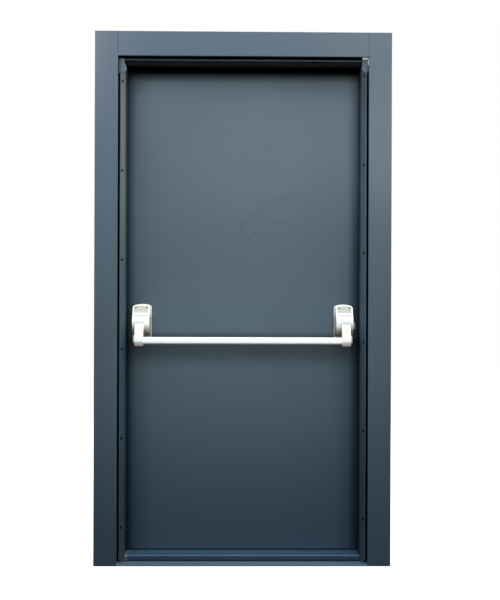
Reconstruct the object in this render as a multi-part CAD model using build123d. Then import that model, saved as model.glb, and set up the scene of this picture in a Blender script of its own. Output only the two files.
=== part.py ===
from build123d import *
import math
import os

# Steel fire door, push side toward -Y. X is across the opening, Z is up,
# the origin is on the floor under the middle of the threshold plate,
# and y = 0 is the face of the leaf on the push side. Millimetres.

# Opening and folded frame section. "Out" is measured away from the opening.
clear_width = 1000.0
clear_top = 2108.0
sheet = 2.0
fold_radius = 3.0
splay_out = 16.0
lip_out = 21.0
lip_y = -102.0
slot_depth = 26.0
trim_flange = 36.0
splay_end_y = -82.0
stop_y = -6.0
rebate_out = 15.0
wall_face_y = 40.0
wall_flange_out = 75.0
wall_return = 14.0

# Architraves: shallow pressed trays on the wall face
trim_front_y = -124.0
trim_gap = 4.0
trim_width = 97.0
trim_head_width = 103.0
trim_seam = 0.5
trim_overhang = 12.0

# Threshold
plate_thickness = 6.0
plate_front_y = -123.0
plate_tuck = 11.0
step_top = 27.5
step_front_y = -73.0

# Fixing holes in the splay of the frame
fixing_hole = 9.0
hole_share = 0.35
left_first_hole = 153.0
left_hole_pitch = 376.6
right_first_hole = 187.0
right_hole_pitch = 375.4
holes_per_side = 6
head_hole_centre = 96.5
head_hole_pitch = 411.0

# Corner cut off the lip and splay at the foot of each jamb
foot_cut_height = 16.0
foot_cut_start = 10.5

# Gusset plates over the top corners of the frame
tab_height = 62.0
tab_head_height = 18.0
tab_stand_off = 0.3

# Leaf: inner tray, insulation and outer tray with an overlapping edge
leaf_thickness = 60.0
leaf_lip_y = 45.0
leaf_bottom = 11.0
leaf_skin = 1.5
hinge_side_gap = 5.0
lock_side_gap = 8.0
top_gap = 5.0
lip_overlap = 15.0

# Hinges on the far side
hinge_radius = 9.0
hinge_out = 41.0
hinge_lift = 13.0
hinge_plate = 5.0
hinge_frame_reach = 31.0
hinge_leaf_plate = 3.5
hinge_leaf_reach = 56.0
knuckle_length = 60.0
knuckle_gap = 2.0
pin_radius = 5.0
pin_clearance = 0.3
hinge_heights = (260.0, 1240.0, 1860.0)

# Push bar housings
housing_inset = 63.5
housing_width = 80.0
housing_flange = 4.0
flange_step = 2.5
housing_front_width = 72.0
housing_bottom = 951.5
housing_height = 143.0
housing_depth = 64.0
housing_arch = 7.0
housing_corner = 12.0
housing_wall = 3.0
belly_centre = 3.4
brow_radius = 40.0
panel_sink = 1.5
panel_margin = 10.0
groove_width = 1.6
base_plate = 4.0
base_margin = 6.5

# Push bar arms, pivots and tube
ear_thickness = 3.0
ear_gap = 3.0
hub_radius = 12.0
pivot_radius = 4.0
pivot_clearance = 0.3
arm_inner_half = 16.0
arm_outer_half = 19.5
arm_flank = 5.0
flank_start = 58.0
flank_full = 66.0
arm_toe = 18.0
neck_inner_half = 9.0
neck_outer_half = 15.0
slot_clearance = 5.0
press_angle = 12.0
bar_out = 93.0
bar_drop = 84.0
bar_height = 30.5
bar_depth = 20.0
bar_wall = 2.0

# Latch bolt beside the right-hand housing
latch_gap = 11.3
latch_length = 17.0
latch_rise = 51.0
latch_height = 29.0
latch_depth = 16.0
latch_clearance = 0.5
latch_travel = 8.1

half_clear = clear_width / 2
floor_z = plate_thickness
rebate_half = half_clear + rebate_out
rebate_top = clear_top + rebate_out
body_left = -(rebate_half - hinge_side_gap)
body_right = rebate_half - lock_side_gap
body_top = rebate_top - top_gap
leaf_left = -(rebate_half + lip_overlap)
leaf_right = rebate_half + lip_overlap
leaf_top = rebate_top + lip_overlap
hinge_x = -(half_clear + hinge_out)
hinge_y = wall_face_y + hinge_lift
housing_x = half_clear - housing_inset
housing_top = housing_bottom + housing_height
pivot_y = -0.47 * housing_depth
pivot_z = housing_bottom + 0.52 * housing_height
crown_z = housing_bottom + 0.47 * housing_height
bar_y = -bar_out
bar_z = pivot_z - bar_drop
arm_front = bar_y - bar_depth / 2 - 4
arm_back = bar_y + bar_depth / 2 - 1
arm_low = bar_z - bar_height / 2 - 7

os.makedirs("parts", exist_ok=True)


def save(name, shape):
    """Write one piece to parts/name.step."""
    export_step(shape, "parts/" + name + ".step")


def block(x0, x1, y0, y1, z0, z1):
    """Box between two corners."""
    middle = ((x0 + x1) / 2, (y0 + y1) / 2, (z0 + z1) / 2)
    return Pos(*middle) * Box(x1 - x0, y1 - y0, z1 - z0)


def mirrored(shape):
    """Mirror image across the middle plane of the opening."""
    return mirror(shape, about=Plane.YZ)


def rod_x(radius, x0, x1, y, z):
    """Round rod along X."""
    return Pos((x0 + x1) / 2, y, z) * Rot(0, 90, 0) * Cylinder(radius, x1 - x0)


def rod_z(radius, x, y, z0, z1):
    """Round rod along Z."""
    return Pos(x, y, (z0 + z1) / 2) * Cylinder(radius, z1 - z0)


# Folded frame

def folded_section():
    """Sheet section: architrave flange, lip, splay, reveal, stop, rebate and wall flange."""
    line = FilletPolyline(
        (half_clear + lip_out + trim_flange, lip_y + slot_depth),
        (half_clear + lip_out, lip_y + slot_depth),
        (half_clear + lip_out, lip_y),
        (half_clear + splay_out, lip_y),
        (half_clear, splay_end_y),
        (half_clear, stop_y),
        (half_clear + rebate_out, stop_y),
        (half_clear + rebate_out, wall_face_y),
        (half_clear + wall_flange_out, wall_face_y),
        (half_clear + wall_flange_out, wall_face_y - wall_return),
        radius=[0] + 4 * [fold_radius] + [0, 0] + [fold_radius],
    )
    outline = offset(Wire(line.edges()), amount=sheet, side=Side.RIGHT)
    return make_face(outline.edges())


def mitre_wedge():
    """Everything outside and below the 45 degree line through the right top corner."""
    reach = 200.0
    with_corner = Polyline(
        (half_clear - reach, clear_top - reach),
        (half_clear + reach, clear_top + reach),
        (half_clear + reach, floor_z - reach),
        (half_clear - reach, floor_z - reach),
        close=True,
    )
    face = Plane.XZ * make_face(with_corner)
    return extrude(face, amount=400, both=True)


def splay_hole(height):
    """Drill through the right-hand splay, square to its face."""
    run = splay_end_y - lip_y
    middle = (half_clear + (1 - hole_share) * splay_out, lip_y + hole_share * run, height)
    towards = (run, splay_out, 0)
    plane = Plane(origin=middle, z_dir=towards)
    return plane * Cylinder(fixing_hole / 2, 16)


def foot_cut():
    """Triangle taken off the lip and splay at the foot of a jamb, in front of the slot's floor."""
    edge = half_clear + lip_out
    face = make_face(Polyline(
        (half_clear + foot_cut_start, floor_z - 1),
        (edge + 1, floor_z - 1),
        (edge + 1, floor_z + foot_cut_height),
        (edge, floor_z + foot_cut_height),
        (half_clear + foot_cut_start, floor_z),
        close=True,
    ))
    wedge = extrude(Plane.XZ * face, amount=slot_depth)
    return Pos(0, lip_y + 0.6 * slot_depth, 0) * wedge


def jamb(first_hole, pitch):
    """Right-hand upright with its fixing holes, cut to the mitre at the top."""
    length = clear_top + wall_flange_out - floor_z
    upright = Pos(0, 0, floor_z) * extrude(folded_section(), amount=length)
    upright = upright & mitre_wedge()
    upright -= foot_cut()
    for index in range(holes_per_side):
        upright -= splay_hole(first_hole + index * pitch)
    return upright


def frame_head():
    """Top member of the same section, mitred at both ends."""
    reach = half_clear + wall_flange_out
    bar = extrude(folded_section(), amount=2 * reach)
    bar = Rot(0, -90, 0) * bar
    bar = Pos(reach, 0, clear_top - half_clear) * bar
    side = mitre_wedge()
    bar = bar - side - mirrored(side)
    for sign in (-1, 1):
        x = head_hole_centre + sign * head_hole_pitch / 2
        y = lip_y + hole_share * (splay_end_y - lip_y)
        z = clear_top + (1 - hole_share) * splay_out
        plane = Plane(origin=(x, y, z), z_dir=(0, splay_end_y - lip_y, splay_out))
        bar -= plane * Cylinder(fixing_hole / 2, 16)
    return bar


def corner_tab(overlap, rise_above, flare, corner_radius):
    """Flat gusset over the right top corner, widening toward the opening below its head."""
    outer = half_clear + lip_out + overlap
    inner = half_clear + 1.5
    top = clear_top + lip_out + rise_above
    low = top - tab_height
    bend = top - tab_head_height
    face = make_face(Polyline(
        (outer, top), (inner, top), (inner, bend), (inner - flare, bend - 2 * flare),
        (inner - flare, low + 10), (inner + 8, low), (outer, low), close=True,
    ))
    corner = face.vertices().sort_by(lambda point: point.X + point.Y)[-1]
    plate = extrude(Plane.XZ * fillet(corner, corner_radius), amount=sheet)
    return Pos(0, lip_y - tab_stand_off, 0) * plate


# Architraves and threshold

def tray(x0, x1, z0, z1):
    """Shallow sheet tray with its open side against the wall."""
    solid = block(x0, x1, trim_front_y, lip_y, z0, z1)
    front_edges = solid.edges().filter_by_position(Axis.Y, trim_front_y, trim_front_y)
    solid = fillet(front_edges, sheet)
    hollow = block(
        x0 + sheet, x1 - sheet, trim_front_y + sheet, lip_y + 1, z0 + sheet, z1 - sheet
    )
    return solid - hollow


def threshold_plate():
    """Flat plate on the floor, its ends tucked behind the front sheets of the architraves."""
    half = half_clear + lip_out + trim_gap - 1
    plate = block(-half, half, plate_front_y, wall_face_y, 0, plate_thickness)
    top_front = plate.edges().filter_by(Axis.X).sort_by(Axis.Y)[:2].sort_by(Axis.Z)[-1]
    plate = fillet(top_front, 2.0)
    tucked = half + plate_tuck
    behind = trim_front_y + sheet + 1
    return plate + block(-tucked, tucked, behind, lip_y + slot_depth, 0, plate_thickness)


def threshold_step():
    """Folded step that the leaf closes behind."""
    half = half_clear - 0.5
    line = FilletPolyline(
        (step_front_y, floor_z),
        (step_front_y, step_top),
        (stop_y, step_top),
        (stop_y, floor_z),
        radius=fold_radius,
    )
    outline = offset(Wire(line.edges()), amount=sheet, side=Side.RIGHT)
    section = Plane.YZ * make_face(outline.edges())
    return Pos(-half, 0, 0) * extrude(section, amount=2 * half)


def seal_bulb(length):
    """Extruded seal along Z from z = 0: flat back on the stop, rounded toward the leaf."""
    near = half_clear + 2.0
    far = half_clear + 11.0
    front = stop_y
    face = make_face([
        Line((near, front), (far, front)),
        Line((far, front), (far, front + 2.5)),
        ThreePointArc((far, front + 2.5), ((near + far) / 2, -0.5), (near, front + 2.5)),
        Line((near, front + 2.5), (near, front)),
    ])
    return extrude(face, amount=length)


def frame_seals():
    """Seals on the stop of both jambs, the head and the threshold step."""
    side_top = clear_top - 1
    side = Pos(0, 0, step_top) * seal_bulb(side_top - step_top)
    across = clear_width - 2
    lying = Pos(half_clear - 1, 0, clear_top - half_clear) * Rot(0, -90, 0) * seal_bulb(across)
    low = Pos(half_clear - 1, 0, floor_z + 4 - half_clear) * Rot(0, -90, 0) * seal_bulb(across)
    return Compound([side, mirrored(side), lying, low])


# Leaf

def leaf_inner_skin():
    """Push-side tray of the leaf with folded edges running back to the overlap."""
    outer = block(body_left, body_right, 0, leaf_lip_y, leaf_bottom, body_top)
    front = outer.edges().filter_by_position(Axis.Y, 0, 0)
    outer = fillet(front, leaf_skin)
    inner = block(
        body_left + leaf_skin, body_right - leaf_skin,
        leaf_skin, leaf_lip_y + 1,
        leaf_bottom + leaf_skin, body_top - leaf_skin,
    )
    return outer - inner


def leaf_outer_skin():
    """Far-side tray whose rim overlaps the frame on three sides."""
    outer = block(leaf_left, leaf_right, leaf_lip_y, leaf_thickness, leaf_bottom, leaf_top)
    back = outer.edges().filter_by_position(Axis.Y, leaf_thickness, leaf_thickness)
    outer = fillet(back, leaf_skin)
    inner = block(
        leaf_left + leaf_skin, leaf_right - leaf_skin,
        leaf_lip_y + leaf_skin, leaf_thickness - leaf_skin,
        leaf_bottom + leaf_skin, leaf_top - leaf_skin,
    )
    mouth = block(
        body_left + leaf_skin, body_right - leaf_skin,
        leaf_lip_y - 1, leaf_lip_y + leaf_skin + 1,
        leaf_bottom + leaf_skin, body_top - leaf_skin,
    )
    return outer - inner - mouth


def leaf_core():
    """Mineral wool board filling both trays."""
    return block(
        body_left + leaf_skin, body_right - leaf_skin,
        leaf_skin, leaf_thickness - leaf_skin,
        leaf_bottom + leaf_skin, body_top - leaf_skin,
    )


# Hinges

def knuckle(z0, z1):
    """Solid barrel piece of a hinge."""
    return rod_z(hinge_radius, hinge_x, hinge_y, z0, z1)


def pin_bore(z0, z1):
    """Hole for a hinge pin with its clearance."""
    return rod_z(pin_radius + pin_clearance, hinge_x, hinge_y, z0, z1)


def frame_hinge_halves():
    """Lower knuckles with their plates on the wall flange of the left jamb."""
    halves = []
    for height in hinge_heights:
        z0, z1 = height, height + knuckle_length
        far = wall_face_y + hinge_plate
        plate = block(hinge_x - hinge_frame_reach, hinge_x, wall_face_y, far, z0, z1)
        half = plate + knuckle(z0, z1) - pin_bore(z0 + 4, z1 + 1)
        halves.append(half)
    return Compound(halves)


def leaf_hinge_halves():
    """Upper knuckles with their plates on the far face of the leaf."""
    halves = []
    for height in hinge_heights:
        z0 = height + knuckle_length + knuckle_gap
        z1 = z0 + knuckle_length
        far = leaf_thickness + hinge_leaf_plate
        plate = block(hinge_x, hinge_x + hinge_leaf_reach, leaf_thickness, far, z0, z1)
        half = plate + knuckle(z0, z1) - pin_bore(z0 - 1, z1 - 4)
        halves.append(half)
    return Compound(halves)


def hinge_pins():
    """Pins standing in the lower knuckles."""
    pins = []
    for height in hinge_heights:
        top = height + 2 * knuckle_length + knuckle_gap - 4.5
        pins.append(rod_z(pin_radius, hinge_x, hinge_y, height + 4, top))
    return Compound(pins)


# Push bar housings, drawn at x = 0 and moved to either side

def rise(fraction):
    """Height of a point on the housing, from 0 at its foot to 1 at its crown."""
    return housing_bottom + fraction * housing_height


def housing_outline(inset):
    """Front view of a housing: straight sides under an arched top."""
    half = housing_width / 2 - inset
    low = housing_bottom + inset
    shoulder = housing_top - housing_arch - inset
    sides = make_face([
        Line((-half, shoulder), (-half, low)),
        Line((-half, low), (half, low)),
        Line((half, low), (half, shoulder)),
        ThreePointArc((half, shoulder), (0, housing_top - inset), (-half, shoulder)),
    ])
    corners = sides.vertices().sort_by(Axis.Y)[2:]
    return fillet(corners, housing_corner - inset)


def housing_profile(inset):
    """Side view of a housing: round belly below its crown, round brow above, sloping head."""
    belly = housing_depth - belly_centre - inset
    slant = belly * math.sqrt(0.5)
    crown_y = -housing_depth + inset
    brow = brow_radius - inset
    brow_y = crown_y + brow
    brow_end = rise(0.69)
    climb = brow_end - crown_z
    brow_low = (brow_y - math.sqrt(brow ** 2 - climb ** 2), brow_end)
    brow_middle = (brow_y - math.sqrt(brow ** 2 - climb ** 2 / 4), crown_z + climb / 2)
    top = (-0.56 * housing_depth + inset, housing_top + 1)
    return make_face([
        Line((0, housing_top + 1), (0, crown_z - belly)),
        Line((0, crown_z - belly), (-belly_centre, crown_z - belly)),
        ThreePointArc(
            (-belly_centre, crown_z - belly), (-belly_centre - slant, crown_z - slant),
            (crown_y, crown_z),
        ),
        ThreePointArc((crown_y, crown_z), brow_middle, brow_low),
        Line(brow_low, top),
        Line(top, (0, housing_top + 1)),
    ])


def housing_body(inset):
    """Raised part of a housing: front outline with tapered sides, cut by the side profile."""
    half = housing_width / 2 - flange_step - inset
    front = housing_front_width / 2 - inset
    reach = housing_depth * 1.1
    body = extrude(Plane.XZ * housing_outline(flange_step + inset), amount=reach)
    taper = make_face(Polyline(
        (-half, 0), (half, 0), (front, -reach), (-front, -reach), close=True
    ))
    body = body & extrude(taper, amount=housing_top + 10)
    side = extrude(Plane.YZ * housing_profile(inset), amount=housing_width, both=True)
    return body & side


def arm_slot():
    """Opening in a housing for the arm, with rounded upper corners."""
    near = -neck_inner_half - slot_clearance
    far = neck_outer_half + slot_clearance
    crown = rise(0.48)
    low = housing_bottom - 5
    face = make_face(Polyline((near, low), (far, low), (far, crown), (near, crown), close=True))
    corners = face.vertices().sort_by(Axis.Y)[2:]
    rounded = extrude(Plane.XZ * fillet(corners, 8.0), amount=housing_depth * 1.2)
    return Pos(0, -base_plate - 1, 0) * rounded


def panel_outline():
    """Front view of the sunk panel at the top of a housing."""
    half = housing_width / 2 - panel_margin
    low, side, crown = rise(0.745), rise(0.915), rise(0.95)
    return make_face([
        Line((-half, low), (half, low)),
        Line((half, low), (half, side)),
        ThreePointArc((half, side), (0, crown), (-half, side)),
        Line((-half, side), (-half, low)),
    ])


def housing_cover(latch_side):
    """Hollow cover with the arm slot, the sunk panel and the groove below it."""
    flange = extrude(Plane.XZ * housing_outline(0), amount=housing_flange)
    cover = flange + housing_body(0) - housing_body(housing_wall) - arm_slot()
    sunk = extrude(Plane.XZ * panel_outline(), amount=housing_depth)
    cover -= sunk - housing_body(panel_sink)
    half = housing_width / 2 - panel_margin
    low = rise(0.66)
    groove = block(-half, half, -housing_depth, -base_plate, low, low + groove_width)
    cover -= groove - housing_body(panel_sink)
    if latch_side:
        cover -= latch_body(latch_clearance, housing_width / 2)
    return cover


def housing_base():
    """Base plate with the two ears that carry the pivot."""
    half = housing_width / 2 - base_margin
    belly_foot = crown_z - housing_depth + belly_centre + housing_wall
    low = max(belly_foot, housing_bottom + base_margin) + 1
    high = housing_top - housing_arch - base_margin - 2
    plate = block(-half, half, -base_plate, 0, low, high)
    root = -base_plate + 1
    span = hub_radius - 2
    ear = make_face([
        Line((root, pivot_z + hub_radius), (root, pivot_z - hub_radius)),
        Line((root, pivot_z - hub_radius), (pivot_y, pivot_z - span)),
        ThreePointArc(
            (pivot_y, pivot_z - span), (pivot_y - span, pivot_z), (pivot_y, pivot_z + span)
        ),
        Line((pivot_y, pivot_z + span), (root, pivot_z + hub_radius)),
    ])
    ear = extrude(Plane.YZ * ear, amount=ear_thickness)
    near = -neck_inner_half - ear_gap - ear_thickness
    far = neck_outer_half + ear_gap
    plate = plate + Pos(near, 0, 0) * ear + Pos(far, 0, 0) * ear
    return plate - rod_x(pivot_radius, 2 * near, 2 * far, pivot_y, pivot_z)


def on_hub(angle):
    """Point of the hub's rim at an angle in degrees, in side view."""
    turn = math.radians(angle)
    return (pivot_y + hub_radius * math.cos(turn), pivot_z + hub_radius * math.sin(turn))


def arm_profile():
    """Side view of an arm: hub, neck, shoulder before the slot, bowed front and bevelled toe."""
    heel = (arm_back, arm_low + 8)
    hollow = (pivot_y - 0.53 * housing_depth, pivot_z - 0.37 * bar_drop)
    knee = (arm_front + 23, pivot_z - 15.5)
    neck_z = crown_z - slot_clearance + 0.7
    shoulder_y = -housing_depth - slot_clearance - 2.5
    toe = (arm_front, arm_low + arm_toe)
    return make_face([
        ThreePointArc(on_hub(115), on_hub(35), on_hub(-45)),
        ThreePointArc(on_hub(-45), hollow, heel),
        Line(heel, (arm_back - 8, arm_low)),
        Line((arm_back - 8, arm_low), (arm_front + 10, arm_low)),
        Line((arm_front + 10, arm_low), toe),
        ThreePointArc(toe, (arm_front + 5, (arm_low + pivot_z) / 2 + 6), knee),
        Line(knee, (shoulder_y, crown_z + 2)),
        Line((shoulder_y, crown_z + 2), (shoulder_y, neck_z)),
        Line((shoulder_y, neck_z), (shoulder_y + 13.5, neck_z)),
        Line((shoulder_y + 13.5, neck_z), on_hub(115)),
    ])


def blade_profile():
    """Part of the arm's side view that stays clear of the belly, released and pressed."""
    reach = housing_depth - belly_centre + slot_clearance
    belly = Pos(-belly_centre, crown_z) * Circle(reach)
    about = Pos(pivot_y, pivot_z) * Rot(0, 0, -press_angle) * Pos(-pivot_y, -pivot_z)
    return arm_profile() - belly - about * belly


def arm():
    """Right-hand push arm: narrow neck in the slot, and a blade that widens toward its foot."""
    inner, outer = arm_inner_half, arm_outer_half
    side = outer + arm_flank
    top = pivot_z + 2 * hub_radius
    slab = extrude(Plane.YZ * blade_profile(), amount=2 * side, both=True)
    front = make_face(Polyline(
        (-inner, arm_low - 1), (side - 7, arm_low - 1), (side, arm_low + 16),
        (side, pivot_z - flank_full), (outer, pivot_z - flank_start),
        (outer, top), (-inner, top), close=True,
    ))
    slab = slab & extrude(Plane.XZ * front, amount=2 * bar_out)
    slab -= arm_bevel()
    neck = extrude(Plane.YZ * arm_profile(), amount=neck_inner_half + neck_outer_half)
    slab += Pos(-neck_inner_half, 0, 0) * neck
    bore = pivot_radius + pivot_clearance
    return slab - rod_x(bore, -2 * inner, 2 * outer, pivot_y, pivot_z)


def arm_bevel():
    """Wedge between the front face and the wider flank, leaning back with the bow."""
    outer = arm_outer_half
    side = outer + arm_flank
    wedge = Pos(0, 0, arm_low - 2) * make_face(Polyline(
        (outer - 0.5, arm_front - 1), (side + 1, arm_front - 1), (side + 1, arm_front + 12),
        close=True,
    ))
    return extrude(wedge, amount=pivot_z - arm_low - flank_start, dir=(0, 0.06, 1))


def pivot():
    """Pin through both ears and the hub of the arm."""
    grip = ear_gap + ear_thickness + 1
    return rod_x(pivot_radius, -neck_inner_half - grip, neck_outer_half + grip, pivot_y, pivot_z)


def bar_tube():
    """Oval tube between the inner sides of the two arms."""
    reach = housing_x - arm_inner_half
    straight = bar_height - bar_depth
    outer = SlotCenterToCenter(straight, bar_depth)
    inner = SlotCenterToCenter(straight, bar_depth - 2 * bar_wall)
    section = Plane.YZ * (Pos(bar_y, bar_z) * Rot(0, 0, 90) * (outer - inner))
    return Pos(-reach, 0, 0) * extrude(section, amount=2 * reach)


def latch_body(grow, extra):
    """Bevelled latch bolt relative to the housing, optionally grown for its opening."""
    tip = housing_inset - latch_gap
    middle = housing_bottom + latch_rise
    y1 = -base_plate - 0.3 + grow * 0.4
    y0 = -base_plate - 0.3 - latch_depth - grow
    z0 = middle - latch_height / 2 - grow
    z1 = middle + latch_height / 2 + grow
    if extra:
        return block(tip - latch_length - latch_travel - 1, tip + extra, y0, y1, z0, z1)
    bolt = block(tip - latch_length, tip, y0, y1, z0, z1)
    nose = bolt.edges().filter_by(Axis.Z).sort_by(Axis.X)[-2:].sort_by(Axis.Y)[0]
    return chamfer(nose, 5.0, 8.0)


def build_frame():
    """Pieces that stay on the wall."""
    inner_edge = half_clear + lip_out + trim_gap
    outer_edge = inner_edge + trim_width
    head_bottom = clear_top + lip_out + trim_gap + 2
    head_top = head_bottom + trim_head_width
    back = lip_y + slot_depth
    behind = trim_front_y + sheet
    return_x = inner_edge + trim_overhang
    return_z = head_bottom + trim_overhang
    side = tray(inner_edge, outer_edge, 0, head_top)
    side -= block(inner_edge - 1, return_x, behind, lip_y + 1, -1, return_z)
    side += block(return_x, return_x + sheet, behind - 1, back, 0, return_z)
    save("architrave_right", side)
    save("architrave_left", mirrored(side))
    reach = inner_edge - trim_seam
    head = tray(-reach, reach, head_bottom, head_top)
    head -= block(-reach - 1, reach + 1, behind, lip_y + 1, head_bottom - 1, return_z)
    head += block(-reach, reach, behind - 1, back, return_z, return_z + sheet)
    save("architrave_head", head)
    save("jamb_right", jamb(right_first_hole, right_hole_pitch))
    save("jamb_left", mirrored(jamb(left_first_hole, left_hole_pitch)))
    save("frame_head", frame_head())
    save("corner_tab_right", corner_tab(8.0, 10.0, 1.5, 8.0))
    save("corner_tab_left", mirrored(corner_tab(3.5, 1.0, 8.5, 1.5)))
    save("threshold_plate", threshold_plate())
    save("threshold_step", threshold_step())
    save("frame_seals", frame_seals())
    save("hinge_frame_halves", frame_hinge_halves())
    save("hinge_pins", hinge_pins())


def build_leaf():
    """Pieces that swing with the leaf."""
    save("leaf_inner_skin", leaf_inner_skin())
    save("leaf_outer_skin", leaf_outer_skin())
    save("leaf_core", leaf_core())
    save("hinge_leaf_halves", leaf_hinge_halves())
    place = Pos(housing_x, 0, 0)
    save("housing_cover_right", place * housing_cover(True))
    save("housing_cover_left", mirrored(place * housing_cover(False)))
    for name, piece in (("housing_base_", housing_base()), ("arm_pivot_", pivot())):
        save(name + "right", place * piece)
        save(name + "left", mirrored(place * piece))


def build_push_bar():
    """Pieces that move with the bar, and the latch bolt."""
    right_arm = Pos(housing_x, 0, 0) * arm()
    save("arm_right", right_arm)
    save("arm_left", mirrored(right_arm))
    save("push_bar", bar_tube())
    save("latch_bolt", Pos(housing_x, 0, 0) * latch_body(0, 0))


build_frame()
build_leaf()
build_push_bar()
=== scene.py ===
import math
import bpy
import numpy as np
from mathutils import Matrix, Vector


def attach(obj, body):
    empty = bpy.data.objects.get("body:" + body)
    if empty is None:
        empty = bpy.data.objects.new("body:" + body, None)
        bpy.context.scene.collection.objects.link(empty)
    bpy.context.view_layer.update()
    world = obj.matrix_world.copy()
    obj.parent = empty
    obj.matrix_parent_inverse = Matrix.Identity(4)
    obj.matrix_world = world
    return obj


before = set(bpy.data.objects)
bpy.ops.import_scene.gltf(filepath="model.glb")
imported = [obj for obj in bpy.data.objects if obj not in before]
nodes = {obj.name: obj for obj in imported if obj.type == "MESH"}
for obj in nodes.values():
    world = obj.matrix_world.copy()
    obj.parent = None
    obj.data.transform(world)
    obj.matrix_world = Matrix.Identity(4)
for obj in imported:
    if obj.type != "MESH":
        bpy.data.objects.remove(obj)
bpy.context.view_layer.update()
print("frame loaded with", len(nodes), "nodes")


# screen color 0..255 to the linear values that shaders take, by the sRGB curve
def fromScreen(red, green, blue):
    share = np.array([red, green, blue]) / 255.0
    linear = np.where(share <= 0.04045, share / 12.92, ((share + 0.055) / 1.055) ** 2.4)
    return (*linear.tolist(), 1.0)


def newMaterial(name):
    material = bpy.data.materials.new(name)
    material.use_nodes = True
    tree = material.node_tree
    return material, tree, tree.nodes["Principled BSDF"]


# linked where the value is another node's socket, typed in where it is a number or a color
def feed(tree, socket, value):
    if isinstance(value, bpy.types.NodeSocket):
        tree.links.new(value, socket)
    else:
        socket.default_value = value


def objectCoords(tree):
    return tree.nodes.new("ShaderNodeTexCoord").outputs["Object"]


def noise(tree, scale, detail=3.0, rough=0.5):
    texture = tree.nodes.new("ShaderNodeTexNoise")
    texture.inputs["Scale"].default_value = scale
    texture.inputs["Detail"].default_value = detail
    texture.inputs["Roughness"].default_value = rough
    tree.links.new(objectCoords(tree), texture.inputs["Vector"])
    return texture.outputs["Fac"]


# maps a value from one range to another and stops at both ends; smooth eases it in and out
def remap(tree, value, low, high, outLow=0.0, outHigh=1.0, smooth=False):
    node = tree.nodes.new("ShaderNodeMapRange")
    if smooth:
        node.interpolation_type = "SMOOTHSTEP"
    node.inputs["From Min"].default_value = low
    node.inputs["From Max"].default_value = high
    node.inputs["To Min"].default_value = outLow
    node.inputs["To Max"].default_value = outHigh
    tree.links.new(value, node.inputs["Value"])
    return node.outputs["Result"]


# the color sockets of a Mix node are its inputs 6 and 7 and its output 2
def mixColors(tree, factor, first, second):
    node = tree.nodes.new("ShaderNodeMix")
    node.data_type = "RGBA"
    feed(tree, node.inputs[0], factor)
    feed(tree, node.inputs[6], first)
    feed(tree, node.inputs[7], second)
    return node.outputs[2]


# the same for plain numbers, which are its inputs 2 and 3 and its output 0
def mixNumbers(tree, factor, first, second):
    node = tree.nodes.new("ShaderNodeMix")
    feed(tree, node.inputs[0], factor)
    feed(tree, node.inputs[2], first)
    feed(tree, node.inputs[3], second)
    return node.outputs[0]


def calculate(tree, kind, first, second=None):
    node = tree.nodes.new("ShaderNodeMath")
    node.operation = kind
    feed(tree, node.inputs[0], first)
    if second is not None:
        feed(tree, node.inputs[1], second)
    return node.outputs["Value"]


def multiplyColor(tree, color, gain):
    node = tree.nodes.new("ShaderNodeVectorMath")
    node.operation = "MULTIPLY"
    tree.links.new(color, node.inputs[0])
    node.inputs[1].default_value = gain
    return node.outputs["Vector"]


def bump(tree, shader, height, distance):
    node = tree.nodes.new("ShaderNodeBump")
    node.inputs["Strength"].default_value = 1.0
    node.inputs["Distance"].default_value = distance
    tree.links.new(height, node.inputs["Height"])
    tree.links.new(node.outputs["Normal"], shader.inputs["Normal"])


# a point on the sloping head of the housing covers, and how far the head leans back for each metre up
headPlane = {"y": -0.0487, "z": 1.0502, "slope": 12.86 / 45.3}


# a point's X, Y or Z in metres; side is |x|, and sunk is the depth behind the covers' sloping head
def along(tree, axis):
    parts = tree.nodes.new("ShaderNodeSeparateXYZ")
    tree.links.new(objectCoords(tree), parts.inputs["Vector"])
    if axis == "side":
        return calculate(tree, "ABSOLUTE", parts.outputs["X"])
    if axis == "sunk":
        above = calculate(tree, "SUBTRACT", parts.outputs["Z"], headPlane["z"])
        lean = calculate(tree, "MULTIPLY", above, headPlane["slope"])
        behind = calculate(tree, "SUBTRACT", parts.outputs["Y"], headPlane["y"])
        return calculate(tree, "SUBTRACT", behind, lean)
    return parts.outputs[axis]


patchNoise = {"detail": 4.0, "rough": 0.6}


# product of ramps: (axis, place where it is 0, place where it is 1), or ("noise", scale, (low, high))
def maskOf(tree, limits):
    mask = None
    for axis, first, second in limits:
        if axis == "noise":
            patches = noise(tree, first, patchNoise["detail"], patchNoise["rough"])
            ramp = remap(tree, patches, second[0], second[1])
        else:
            ramp = remap(tree, along(tree, axis), first, second, smooth=True)
        mask = ramp if mask is None else calculate(tree, "MULTIPLY", mask, ramp)
    return mask


plainShine = 0.5  # specular level of a Principled shader with nothing done to it


# a layer covers with its color or multiplies what is below by its gain; dull takes the shine away too
def addLayers(tree, shader, color, rough, layers):
    shine = plainShine
    for layer in layers:
        mask = layer["mask"](tree) if "mask" in layer else maskOf(tree, layer["where"])
        if "amount" in layer:
            mask = calculate(tree, "MULTIPLY", mask, layer["amount"])
        over = multiplyColor(tree, color, layer["gain"]) if "gain" in layer else layer["color"]
        color = mixColors(tree, mask, color, over)
        if "dull" in layer:
            kept = remap(tree, mask, 0.0, 1.0, 1.0, 1.0 - layer["dull"])
            shine = calculate(tree, "MULTIPLY", shine, kept)
        if "rough" in layer:
            rough = mixNumbers(tree, mask, rough, layer["rough"])
    feed(tree, shader.inputs["Specular IOR Level"], shine)
    tree.links.new(color, shader.inputs["Base Color"])
    tree.links.new(rough, shader.inputs["Roughness"])


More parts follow.
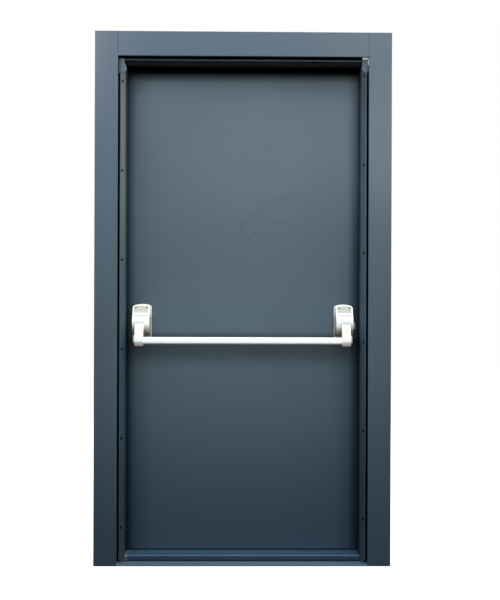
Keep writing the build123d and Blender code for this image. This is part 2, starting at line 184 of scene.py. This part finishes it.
# size in metres; a tint or gain is a red, green, blue triple
paint = {
    "color": fromScreen(51, 69, 84), "cloudColor": fromScreen(54, 72, 87),
    "cloudScale": 2.2, "cloudDetail": 5.0, "cloudRough": 0.6, "cloudRange": (0.35, 0.65),
    "roughness": 0.42, "roughScale": 14.0, "roughRange": (0.3, 0.7), "roughSpread": (-0.015, 0.02),
    "peelScale": 420.0, "peelDetail": 2.0, "peelDepth": 0.00006,
}


def tinted(color, tint):
    return tuple(part * share for part, share in zip(color, tint)) + (1.0,)


# satin powder coat: faint cloudy tint, fine orange peel, then the layers
def paintMaterial(name, tint=(1.0, 1.0, 1.0), roughness=paint["roughness"], layers=()):
    material, tree, shader = newMaterial(name)
    cloud = noise(tree, paint["cloudScale"], paint["cloudDetail"], paint["cloudRough"])
    cloud = remap(tree, cloud, *paint["cloudRange"])
    color = mixColors(tree, cloud, tinted(paint["color"], tint), tinted(paint["cloudColor"], tint))
    lowest, highest = [roughness + spread for spread in paint["roughSpread"]]
    rough = remap(tree, noise(tree, paint["roughScale"]), *paint["roughRange"], lowest, highest)
    addLayers(tree, shader, color, rough, layers)
    bump(tree, shader, noise(tree, paint["peelScale"], paint["peelDetail"]), paint["peelDepth"])
    return material


speckle = {
    "range": (0.3, 0.7), "roughSpread": 0.05, "roughGrain": 0.4, "bumpGrain": 6.0, "bumpDetail": 2.0,
}


# speckled finish of metal, rubber or wool: two tones in fine noise, and finer grain in the surface
def plainMaterial(name, color, roughness, metallic=0.0, contrast=0.88, grain=60.0, depth=0.00003,
                  layers=()):
    material, tree, shader = newMaterial(name)
    tone = remap(tree, noise(tree, grain), *speckle["range"])
    darker = tinted(color, (contrast, contrast, contrast))
    lowest, highest = roughness - speckle["roughSpread"], roughness + speckle["roughSpread"]
    rough = remap(tree, noise(tree, grain * speckle["roughGrain"]), *speckle["range"], lowest, highest)
    addLayers(tree, shader, mixColors(tree, tone, darker, color), rough, layers)
    shader.inputs["Metallic"].default_value = metallic
    bump(tree, shader, noise(tree, grain * speckle["bumpGrain"], speckle["bumpDetail"]), depth)
    return material


# near black that stands in for deep shade in slots and hollows: painted shade
paintedShadeBlack = (0.002, 0.002, 0.002, 1.0)
bareMetal = fromScreen(196, 186, 166)
leafPlane = ("Y", 0.004, -0.006)  # keeps a layer in front of the leaf's face

jambLayers = [
    # splay and reveal a little darker: painted shade in the recess
    {"where": [("Y", -0.104, -0.098), leafPlane], "gain": (0.92, 0.95, 0.95)},
    # painted light: a lighter stretch at mid height; painted shade: darker top of the right jamb, darker
    # feet
    {"where": [("Z", 0.85, 1.1), ("Z", 1.8, 1.5), leafPlane], "gain": (1.4, 1.32, 1.22)},
    {"where": [("X", 0.4, 0.45), ("Z", 1.85, 2.0), leafPlane], "gain": (0.7, 0.67, 0.66)},
    {"where": [("Z", 0.6, 0.35), leafPlane], "gain": (0.84, 0.82, 0.82)},
    # near black inside the cut corner at the foot: painted shade
    {"where": [("Y", -0.099, -0.096), ("side", 0.511, 0.513), ("Z", 0.026, 0.021)], "color": paintedShadeBlack,
     "dull": 1.0},
    # the reveal darkens towards the leaf: painted shade
    {"where": [("Y", -0.088, -0.008), leafPlane, ("side", 0.505, 0.502)], "gain": (0.16, 0.2, 0.24),
     "dull": 0.9},
    # near black in the slot beside the architrave: painted shade
    {"where": [("Y", -0.1012, -0.0985), ("Y", -0.074, -0.0755), ("side", 0.5195, 0.5205)],
     "color": paintedShadeBlack, "dull": 1.0},
]
headLayers = [
    # painted shade: darker flat of the lip, darker still on the splay below it, near black on the soffit
    # at the leaf and in the slot
    {"where": [("Z", 2.1235, 2.1245)], "gain": (0.34, 0.27, 0.23)},
    {"where": [("Y", -0.1015, -0.099), leafPlane, ("Z", 2.1275, 2.1258)], "gain": (0.24, 0.17, 0.13),
     "dull": 0.85},
    {"where": [("Y", -0.068, -0.052), leafPlane, ("Z", 2.112, 2.1095)], "gain": (0.05, 0.05, 0.05),
     "dull": 1.0},
    {"where": [("Y", -0.1012, -0.0985), ("Y", -0.074, -0.0755), ("Z", 2.1275, 2.1285)],
     "color": paintedShadeBlack, "dull": 1.0},
]
trimLayers = [
    # near black on the edges of the architraves that face the slot: painted shade
    {"where": [("side", 0.5262, 0.5252), ("Y", -0.1225, -0.119), ("Z", 2.139, 2.134)],
     "color": paintedShadeBlack, "dull": 1.0},
    {"where": [("Z", 2.1362, 2.1352), ("Y", -0.1225, -0.119), ("side", 0.5262, 0.5252)],
     "color": paintedShadeBlack, "dull": 1.0},
    # painted light at mid height on both sides, painted shade at the top left
    {"where": [("X", -0.5, -0.56), ("Z", 0.95, 1.3), ("Z", 1.9, 1.55)], "gain": (1.34, 1.27, 1.2)},
    {"where": [("X", 0.5, 0.56), ("Z", 1.0, 1.35), ("Z", 1.85, 1.55)], "gain": (1.18, 1.14, 1.08)},
    {"where": [("X", -0.5, -0.56), ("Z", 1.85, 2.05)], "gain": (0.88, 0.88, 0.9)},
]
leafLayers = [
    # painted shade along the left edge, the right edge, the right edge lower down, both sides lower down
    {"where": [("X", -0.458, -0.504)], "gain": (0.27, 0.29, 0.31), "dull": 0.6},
    {"where": [("X", 0.452, 0.502)], "gain": (0.72, 0.72, 0.72), "dull": 0.3},
    {"where": [("X", 0.452, 0.502), ("Z", 1.75, 1.3)], "gain": (0.5, 0.52, 0.52), "dull": 0.5},
    {"where": [("side", 0.37, 0.5), ("Z", 1.5, 0.9)], "gain": (0.66, 0.68, 0.74), "dull": 0.3},
    # painted shadow under the head, first redder and then black; painted shade at the foot; painted
    # shadow under the bar
    {"where": [("Z", 2.045, 2.085)], "gain": (1.0, 0.8, 0.62)},
    {"where": [("Z", 2.055, 2.106)], "gain": (0.02, 0.02, 0.02), "dull": 1.0},
    {"where": [("Z", 0.036, 0.028)], "gain": (0.4, 0.4, 0.42), "dull": 0.5},
    {"where": [("Z", 0.77, 0.93), ("Z", 0.956, 0.94)], "gain": (0.38, 0.37, 0.35), "dull": 0.5},
    # painted light over the height: bluer lower down, lighter and warmer at mid height
    {"where": [("Z", 0.8, 0.2)], "gain": (1.0, 0.95, 1.03)},
    {"where": [("Z", 1.05, 1.3), ("Z", 1.75, 1.5)], "gain": (1.12, 1.03, 1.0)},
]

# faint wipe marks on the leaf: each row is three points (x, z) of a curve, and its width
wipeMarks = {
    "gain": (0.76, 0.8, 0.84), "rough": 0.55, "core": 0.2, "endOut": 0.006, "endIn": 0.004,
    "patchScale": 90.0, "patchRange": (0.35, 0.62), "face": ("Y", 0.005, 0.001),
    "curves": [
        ((-0.02, 1.424), (0.129, 1.538), (0.227, 1.575), 0.011),
        ((0.227, 1.575), (0.27, 1.548), (0.314, 1.510), 0.011),
        ((0.02, 1.372), (0.139, 1.444), (0.237, 1.427), 0.01),
        ((-0.022, 1.41), (-0.008, 1.425), (0.008, 1.442), 0.014),
        ((0.008, 1.362), (0.022, 1.378), (0.04, 1.396), 0.014),
        ((-0.115, 1.318), (-0.1, 1.318), (-0.085, 1.316), 0.014),
        ((-0.092, 1.29), (-0.08, 1.297), (-0.068, 1.29), 0.013),
        ((-0.1, 1.217), (-0.08, 1.219), (-0.07, 1.215), 0.012),
        ((0.1, 1.66), (0.115, 1.79), (0.13, 1.66), 0.03),
        ((-0.388, 1.77), (-0.382, 1.79), (-0.376, 1.77), 0.03),
        ((0.36, 1.795), (0.366, 1.8), (0.372, 1.795), 0.012),
        ((-0.41, 1.22), (-0.39, 1.2), (-0.37, 1.215), 0.012),
    ],
}


# mask of one mark: how near z comes to the parabola through the three points, against the mark's width;
# the parabola is z0 + (x - x0) (slope + bend (x - x1))
def wipeMark(first, middle, last, width):
    (x0, z0), (x1, z1), (x2, z2) = first, middle, last
    slope = (z1 - z0) / (x1 - x0)
    bend = ((z2 - z1) / (x2 - x1) - slope) / (x2 - x0)
    outer, inner = wipeMarks["endOut"], wipeMarks["endIn"]

    def mask(tree):
        x = along(tree, "X")
        rise = calculate(tree, "MULTIPLY", calculate(tree, "SUBTRACT", x, x1), bend)
        rise = calculate(tree, "ADD", rise, slope)
        rise = calculate(tree, "MULTIPLY", rise, calculate(tree, "SUBTRACT", x, x0))
        height = calculate(tree, "SUBTRACT", along(tree, "Z"), z0)
        off = calculate(tree, "ABSOLUTE", calculate(tree, "SUBTRACT", height, rise))
        near = remap(tree, off, width, width * wipeMarks["core"])
        ends = maskOf(tree, [("X", x0 - outer, x0 + inner), ("X", x2 + outer, x2 - inner),
                             ("noise", wipeMarks["patchScale"], wipeMarks["patchRange"]),
                             wipeMarks["face"]])
        return calculate(tree, "MULTIPLY", near, ends)
    return mask


for curve in wipeMarks["curves"]:
    leafLayers.append({"mask": wipeMark(*curve), "gain": wipeMarks["gain"], "rough": wipeMarks["rough"]})

stepLayers = [
    # painted light on the top, painted shade on the front and darkest at its foot, a smoother front edge
    # made lighter as a painted highlight
    {"where": [("Z", 0.0258, 0.0268)], "gain": (1.05, 1.48, 1.7)},
    {"where": [("Z", 0.0258, 0.0245)], "gain": (0.5, 0.6, 0.8)},
    {"where": [("Z", 0.0115, 0.0075)], "gain": (0.45, 0.5, 0.55), "dull": 0.4},
    {"where": [("Z", 0.0238, 0.0252), ("Y", -0.0665, -0.069)], "gain": (1.45, 1.55, 1.65),
     "rough": 0.25},
    # worn to bare metal at the left end
    {"where": [("X", -0.476, -0.494), ("noise", 150.0, (0.5, 0.6))], "color": bareMetal,
     "rough": 0.5, "amount": 0.55},
]
plateLayers = [
    # painted light on the open top, warmer towards the front, painted shadow where the step stands, a
    # cooler front edge
    {"where": [("Y", -0.078, -0.088)], "gain": (2.6, 2.8, 2.9)},
    {"where": [("Y", -0.1, -0.112)], "gain": (1.15, 0.85, 0.72)},
    {"where": [("Y", -0.088, -0.079)], "gain": (0.2, 0.25, 0.3), "dull": 0.4},
    {"where": [("Y", -0.1215, -0.1228)], "gain": (0.8, 0.95, 1.0)},
    # worn to bare metal at the left end
    {"where": [("X", -0.512, -0.524), ("noise", 110.0, (0.45, 0.55))], "color": bareMetal,
     "rough": 0.5, "amount": 0.6},
]

# the right-hand tab is near white along its top and outer edge: worn edge and painted highlight
wornEdgeAndHighlight = fromScreen(252, 252, 246)
wornEdgeAndHighlightPatches = ("noise", 160.0, (0.2, 0.3))
tabLayers = [
    {"where": [("noise", 45.0, (0.45, 0.7))], "gain": (0.86, 0.88, 0.9)},
    {"where": [("X", 0.4, 0.45), ("Z", 2.1305, 2.1325), wornEdgeAndHighlightPatches], "color": wornEdgeAndHighlight},
    {"where": [("X", 0.5235, 0.525), ("Z", 2.105, 2.112), wornEdgeAndHighlightPatches], "color": wornEdgeAndHighlight},
]

# place of each housing from the middle of the door, half widths of its panel, its groove and its
# front, and the width over which a finish fades in
housing = {
    "x": 0.4365, "panelHalf": 0.0312, "grooveHalf": 0.0305, "frontHalf": 0.036,
    "soft": 0.001, "wallSoft": 0.0012,
}


# limits that keep a layer within a half width of a housing's centre line
def withinHousing(half):
    low, high = housing["x"] - half, housing["x"] + half
    return [("side", low, low + housing["soft"]), ("side", high, high - housing["soft"])]


sunkPanel = withinHousing(housing["panelHalf"]) + [
    ("Z", 1.0572, 1.0578), ("Z", 1.0885, 1.0877), ("sunk", 0.0004, 0.0009), ("Y", -0.02, -0.025)]
groove = withinHousing(housing["grooveHalf"]) + [
    ("Z", 1.0436, 1.0446), ("Z", 1.0498, 1.0488), ("Y", -0.03, -0.04)]
frontEnd = housing["x"] - housing["frontHalf"]
innerWall = ("side", frontEnd, frontEnd - housing["wallSoft"])
coverLayers = [
    {"where": sunkPanel, "color": fromScreen(208, 207, 197), "rough": 0.6},
    {"where": sunkPanel + [("noise", 420.0, (0.48, 0.62))], "gain": (0.8, 0.78, 0.74)},
    # darker groove: painted shade
    {"where": groove, "gain": (0.6, 0.63, 0.65)},
    # painted shade, warm as from a brown floor: the belly below the crown, the side walls that face the
    # middle of the door, the flange
    {"where": [("Z", 1.014, 0.975), ("Y", -0.008, -0.012)], "gain": (0.52, 0.45, 0.35)},
    {"where": [innerWall, ("Z", 1.06, 1.03)], "gain": (0.5, 0.49, 0.46)},
    {"where": [("Y", -0.0034, -0.0029)], "gain": (0.62, 0.6, 0.56)},
]
armLayers = [
    # painted shade on the top of the blade; a warm painted reflection on its lower end; painted shade
    # with a warm reflection on the underside and the outer flank
    {"where": [("Z", 1.0095, 1.0105), ("Y", -0.064, -0.068)], "gain": (0.64, 0.63, 0.65)},
    {"where": [("Z", 0.938, 0.932), ("Y", -0.09, -0.095)], "gain": (1.0, 0.9, 0.78)},
    {"where": [("Z", 0.9285, 0.9235), ("Y", -0.08, -0.084)], "gain": (0.76, 0.68, 0.6)},
    {"where": [("side", 0.4545, 0.456), ("Z", 1.03, 0.94)], "gain": (0.62, 0.53, 0.42)},
]
barLayers = [
    # painted shade with a warm reflection on the underside of the bar
    {"where": [("Z", 0.9325, 0.9285)], "gain": (0.72, 0.56, 0.4)},  # underside of the bar
]

silver = {"color": fromScreen(247, 247, 244), "roughness": 0.38, "contrast": 0.97}
leafTint = (0.97, 1.03, 0.99)
materials = {
    "jamb": paintMaterial("jambPaint", layers=jambLayers),
    "head": paintMaterial("headPaint", layers=headLayers),
    "trim": paintMaterial("trimPaint", layers=trimLayers),
    "tab": paintMaterial("tabPaint", layers=tabLayers),
    "leaf": paintMaterial("leafPaint", leafTint, layers=leafLayers),
    "back": paintMaterial("backPaint"),
    "step": paintMaterial("stepPaint", roughness=0.3, layers=stepLayers),
    "plate": paintMaterial("platePaint", roughness=0.34, layers=plateLayers),
    "cover": plainMaterial("coverSilver", **silver, layers=coverLayers),
    "arm": plainMaterial("armSilver", **silver, layers=armLayers),
    "bar": plainMaterial("barSilver", fromScreen(248, 248, 245), roughness=0.36, contrast=0.98,
                         layers=barLayers),
    "seal": plainMaterial("sealRubber", fromScreen(12, 13, 14), roughness=0.7),
    "pin": plainMaterial("pinSteel", fromScreen(150, 150, 150), roughness=0.35, metallic=1.0),
    "wool": plainMaterial("mineralWool", fromScreen(150, 140, 110), roughness=0.95, contrast=0.6,
                          depth=0.0004),
    "latch": plainMaterial("latchMetal", fromScreen(168, 163, 149), roughness=0.45, contrast=0.8),
}
nodeLooks = {
    "architrave_": "trim", "jamb_": "jamb", "frame_head": "head", "corner_tab_": "tab",
    "threshold_plate": "plate", "threshold_step": "step", "frame_seals": "seal",
    "hinge_frame_halves": "back", "hinge_leaf_halves": "back", "hinge_pins": "pin",
    "leaf_inner_skin": "leaf", "leaf_outer_skin": "back", "leaf_core": "wool",
    "housing_": "cover", "arm_pivot_": "pin", "arm_left": "arm", "arm_right": "arm",
    "push_bar": "bar", "latch_bolt": "latch",
}
for name, obj in nodes.items():
    fitting = [start for start in nodeLooks if name.startswith(start)]
    look = nodeLooks[max(fitting, key=len)]
    obj.data.materials.clear()
    obj.data.materials.append(materials[look])
print("materials set on", len(nodes), "nodes")


levelLimit = 0.7  # an axis whose unit vector rises less than this counts as level


# turned solids, one for each place (centre, axis), from a profile of (radius, height) rows that starts
# and ends on the axis: point = centre + r (cos a * across + squash sin a * up) + height * axis;
# cross = (half width, reach, depth) sinks the points of a cross recess by its depth
def turnedPieces(name, material, profile, places, squash=1.0, turns=24, cross=None):
    profile = np.array(profile)
    radius, height = profile[1:-1, 0][:, None], profile[1:-1, 1][:, None]
    rings = len(radius)
    angle = np.linspace(0.0, 2.0 * np.pi, turns, endpoint=False)
    u, v = radius * np.cos(angle), squash * radius * np.sin(angle)
    tip, heel = profile[0, 1], profile[-1, 1]
    rise = np.broadcast_to(height, u.shape).copy()
    if cross:
        half, reach, depth = cross
        inside = (np.minimum(np.abs(u), np.abs(v)) < half) & (np.hypot(u, v) < reach) & (height > 0.0)
        rise = rise - depth * inside
        tip = tip - depth
    index = np.arange(rings * turns).reshape(rings, turns)
    after = np.roll(index, -1, axis=1)
    walls = np.stack([index[:-1], index[1:], after[1:], after[:-1]], axis=-1).reshape(-1, 4)
    front = np.stack([np.full(turns, rings * turns), index[0], after[0]], axis=-1)
    back = np.stack([np.full(turns, rings * turns + 1), after[-1], index[-1]], axis=-1)
    pointCount = rings * turns + 2
    points, faces = [], []
    for number, (centre, axis) in enumerate(places):
        centre = np.array(centre)
        axis = np.array(axis) / np.linalg.norm(axis)
        level = abs(axis[2]) < levelLimit
        across = np.cross((0.0, 0.0, 1.0) if level else (0.0, 1.0, 0.0), axis)
        across /= np.linalg.norm(across)
        up = np.cross(axis, across)
        body = centre + u[..., None] * across + v[..., None] * up + rise[..., None] * axis
        points += [body.reshape(-1, 3), centre + np.array([[tip], [heel]]) * axis]
        for part in (walls, front, back):
            faces += (part + number * pointCount).tolist()
    mesh = bpy.data.meshes.new(name)
    mesh.from_pydata(np.vstack(points).tolist(), [], faces)
    mesh.polygons.foreach_set("use_smooth", np.ones(len(faces), dtype=bool))
    mesh.materials.append(material)
    mesh.update()
    obj = bpy.data.objects.new(name, mesh)
    bpy.context.scene.collection.objects.link(obj)
    return obj


plug = {
    "profile": [(0.0, -0.0012), (0.0014, -0.0012), (0.0026, -0.001), (0.0034, -0.0004), (0.004, 0.0002),
                (0.0046, 0.0004), (0.0052, 0.0003), (0.0057, 0.0), (0.0057, -0.0001), (0.0043, -0.0002),
                (0.0043, -0.0028), (0.0, -0.0028)],
    # near black, dull color of the plugs: painted shade in the holes
    "color": (0.003, 0.003, 0.003, 1.0), "roughness": 0.8, "contrast": 0.5, "grain": 900.0,
    "dull": [{"where": [("Z", -1.0, 0.0)], "gain": (1.0, 1.0, 1.0), "dull": 0.9}],
    "leftFirst": 0.153, "leftPitch": 0.3766, "rightFirst": 0.187, "rightPitch": 0.3754, "count": 6,
    "x": 0.5104, "y": -0.095, "headX": (-0.109, 0.302), "headZ": 2.1184, "inward": 0.78087,
    "forward": -0.6247,
}


# dished blind plugs with a thin rim in the fixing holes of the splay, near black and dull to stand for
# the shade inside the holes: painted shade
def addHoleShadePlugs():
    steps = np.arange(plug["count"])
    inward, forward = plug["inward"], plug["forward"]
    places = [((plug["x"], plug["y"], z), (-inward, forward, 0.0))
              for z in plug["rightFirst"] + plug["rightPitch"] * steps]
    places += [((-plug["x"], plug["y"], z), (inward, forward, 0.0))
               for z in plug["leftFirst"] + plug["leftPitch"] * steps]
    places += [((x, plug["y"], plug["headZ"]), (0.0, forward, -inward)) for x in plug["headX"]]
    black = plainMaterial("plugHoleShade", plug["color"], plug["roughness"], contrast=plug["contrast"],
                          grain=plug["grain"], layers=plug["dull"])
    obj = turnedPieces("holeShadePlugs", black, plug["profile"], places)
    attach(obj, "frame")


coverScrew = {
    "profile": [(0.0, 0.0006), (0.001, 0.0006), (0.0018, 0.0006), (0.0026, 0.0005), (0.0032, 0.0002),
                (0.0035, -0.0001), (0.0038, 0.0), (0.0042, 0.0007), (0.0048, 0.0009), (0.0052, 0.0005),
                (0.0053, -0.0004), (0.0, -0.0004)],
    "aside": 0.0235, "y": -0.03914, "z": 1.0784, "facing": (0.0, -0.962, 0.2731), "squash": 0.72,
    "turns": 32, "cross": (0.00045, 0.0022, 0.0006),
    "color": fromScreen(165, 165, 156), "roughness": 0.5, "metallic": 0.2, "contrast": 0.7,
    # the upper rim layer darkens the top of each rim: painted shade
    "grain": 700.0, "upperRimShade": [{"where": [("Z", 1.0795, 1.0805)], "gain": (0.3, 0.29, 0.27)}],
}


# two screws with cross recess in oval rims on each cover's sunk panel
def addCoverScrews():
    places = [((side * (housing["x"] + off), coverScrew["y"], coverScrew["z"]), coverScrew["facing"])
              for side in (-1, 1) for off in (-coverScrew["aside"], coverScrew["aside"])]
    zinc = plainMaterial("screwZinc", coverScrew["color"], coverScrew["roughness"],
                         coverScrew["metallic"], coverScrew["contrast"], coverScrew["grain"],
                         layers=coverScrew["upperRimShade"])
    obj = turnedPieces("coverScrews", zinc, coverScrew["profile"], places, coverScrew["squash"],
                       coverScrew["turns"], coverScrew["cross"])
    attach(obj, "leaf")


hingeScrew = {
    "profile": [(0.0, 0.0003), (0.0012, 0.0003), (0.0026, 0.0003), (0.0038, 0.0002), (0.0044, 0.0001),
                (0.0046, -0.0002), (0.003, -0.0018), (0.0, -0.0018)],
    "cross": (0.0005, 0.0028, 0.0012), "facing": (0.0, 1.0, 0.0), "bottoms": (0.26, 1.24, 1.86),
    "color": fromScreen(170, 172, 174), "roughness": 0.35, "metallic": 0.9, "contrast": 0.7,
    "grain": 500.0,
}
hingeHalves = [
    {"name": "hingeScrewsFrame", "body": "frame", "x": -0.563, "y": 0.045, "rises": (0.012, 0.03, 0.048)},
    {"name": "hingeScrewsLeaf", "body": "leaf", "x": -0.497, "y": 0.0635, "rises": (0.074, 0.092, 0.11)},
]


# three countersunk screws in each half of the three hinges, heads to the far side
def addHingeScrews():
    zinc = plainMaterial("hingeScrewZinc", hingeScrew["color"], hingeScrew["roughness"],
                         hingeScrew["metallic"], hingeScrew["contrast"], hingeScrew["grain"])
    for half in hingeHalves:
        places = [((half["x"], half["y"], bottom + rise), hingeScrew["facing"])
                  for bottom in hingeScrew["bottoms"] for rise in half["rises"]]
        obj = turnedPieces(half["name"], zinc, hingeScrew["profile"], places,
                           cross=hingeScrew["cross"])
        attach(obj, half["body"])


addHoleShadePlugs()
addCoverScrews()
addHingeScrews()
print("plugs, cover screws and hinge screws added")


# distances in metres, angles in degrees; focalLength and lensCentre are in pixels of the image
camera = {
    "imageWidth": 500.0, "imageHeight": 600.0, "focalLength": 717.04, "lensCentre": (250.0, 289.96),
    "sensor": 36.0, "distance": 3.0, "doorFront": -0.124, "height": 1.157,
    "level": 90.0, "roll": -0.2, "yaw": -0.561,
}


# level camera turned slightly to the right; a small lens shift raises the door in the picture
def addCamera():
    width, height = camera["imageWidth"], camera["imageHeight"]
    centreX, centreY = camera["lensCentre"]
    lens = bpy.data.cameras.new("camera")
    lens.sensor_width = camera["sensor"]
    lens.sensor_fit = "AUTO"
    lens.lens = camera["focalLength"] / height * camera["sensor"]
    lens.shift_x = (width / 2.0 - centreX) / height
    lens.shift_y = (centreY - height / 2.0) / height
    obj = bpy.data.objects.new("camera", lens)
    bpy.context.scene.collection.objects.link(obj)
    obj.location = (0.0, camera["doorFront"] - camera["distance"], camera["height"])
    obj.rotation_euler = [math.radians(camera[turn]) for turn in ("level", "roll", "yaw")]
    bpy.context.scene.camera = obj
    bpy.context.scene.view_settings.view_transform = "Standard"


floorPlan = {
    "half": 14.0, "z": -0.001, "color": (0.5, 0.5, 0.5, 1.0), "roughness": 0.95,
    "glow": 1.0, "glowColor": (1.0, 1.0, 1.0, 1.0),
}


# flat square floor under the door; it throws no light back at the object
def addFloor():
    half, z = floorPlan["half"], floorPlan["z"]
    corners = [(-half, -half, z), (half, -half, z), (half, half, z), (-half, half, z)]
    mesh = bpy.data.meshes.new("floor")
    mesh.from_pydata(corners, [], [(0, 1, 2, 3)])
    obj = bpy.data.objects.new("floor", mesh)
    bpy.context.scene.collection.objects.link(obj)
    obj.visible_diffuse = False
    obj.visible_glossy = False
    material, tree, shader = newMaterial("floorPale")
    shader.inputs["Base Color"].default_value = floorPlan["color"]
    shader.inputs["Roughness"].default_value = floorPlan["roughness"]
    shader.inputs["Emission Color"].default_value = floorPlan["glowColor"]
    shader.inputs["Emission Strength"].default_value = floorPlan["glow"]
    mesh.materials.append(material)


# soft boxes: three white ones in front above the middle, one near left, a warm one far right, a cool
# one low in front, and two that light the far side
white = (1.0, 1.0, 1.0)
lights = [
    {"name": "highRight", "place": (1.0, -0.9, 3.2), "aim": (0.0, 0.0, 1.3), "size": (0.9, 0.6),
     "power": 16.2, "color": white},
    {"name": "highWide", "place": (0.0, -1.1, 3.0), "aim": (0.0, 0.0, 1.3), "size": (1.8, 0.5),
     "power": 14.1, "color": white},
    {"name": "midFront", "place": (0.4, -1.5, 2.05), "aim": (0.0, 0.0, 1.3), "size": (2.2, 0.6),
     "power": 16.3, "color": white},
    {"name": "nearLeft", "place": (-1.1, -0.8, 2.4), "aim": (0.0, 0.0, 0.8), "size": (0.6, 0.6),
     "power": 12.0, "color": white},
    {"name": "farRight", "place": (1.7, -0.45, 2.3), "aim": (-0.5, 0.0, 1.2), "size": (0.5, 0.8),
     "power": 22.4, "color": (1.0, 0.82, 0.5)},
    {"name": "lowFront", "place": (0.0, -2.6, 0.8), "aim": (0.0, 0.0, 0.8), "size": (2.0, 1.0),
     "power": 26.5, "color": (0.78, 0.94, 1.0)},
    {"name": "farSideLeft", "place": (-1.6, 2.6, 2.4), "aim": (0.0, 0.0, 1.1), "size": (2.4, 1.8),
     "power": 60.0, "color": white},
    {"name": "farSideRight", "place": (2.4, 2.2, 1.4), "aim": (0.0, 0.0, 1.1), "size": (1.0, 1.4),
     "power": 45.0, "color": white},
]


def addLight(spec):
    data = bpy.data.lights.new(spec["name"], "AREA")
    data.shape = "RECTANGLE"
    data.size, data.size_y = spec["size"]
    data.energy = spec["power"]
    data.color = spec["color"]
    obj = bpy.data.objects.new(spec["name"], data)
    bpy.context.scene.collection.objects.link(obj)
    obj.visible_camera = False
    obj.location = spec["place"]
    aim = Vector(spec["aim"]) - Vector(spec["place"])
    obj.rotation_euler = aim.to_track_quat("-Z", "Y").to_euler()


worldLight = {
    "above": (0.01, 0.01, 0.01, 1.0), "below": (0.03, 0.025, 0.02, 1.0), "seen": (1.0, 1.0, 1.0, 1.0),
    "fade": (-0.4, 0.3),
}


# white to the camera; as light it is dim, and warm from below as from a brown floor
def addWorld():
    world = bpy.data.worlds.new("studio")
    bpy.context.scene.world = world
    world.use_nodes = True
    tree = world.node_tree
    direction = tree.nodes.new("ShaderNodeTexCoord").outputs["Generated"]
    parts = tree.nodes.new("ShaderNodeSeparateXYZ")
    tree.links.new(direction, parts.inputs["Vector"])
    upward = remap(tree, parts.outputs["Z"], *worldLight["fade"])
    given = mixColors(tree, upward, worldLight["below"], worldLight["above"])
    cameraRay = tree.nodes.new("ShaderNodeLightPath").outputs["Is Camera Ray"]
    color = mixColors(tree, cameraRay, given, worldLight["seen"])
    tree.links.new(color, tree.nodes["Background"].inputs["Color"])


addCamera()
addFloor()
for spec in lights:
    addLight(spec)
addWorld()
print("stage, camera and lights set")
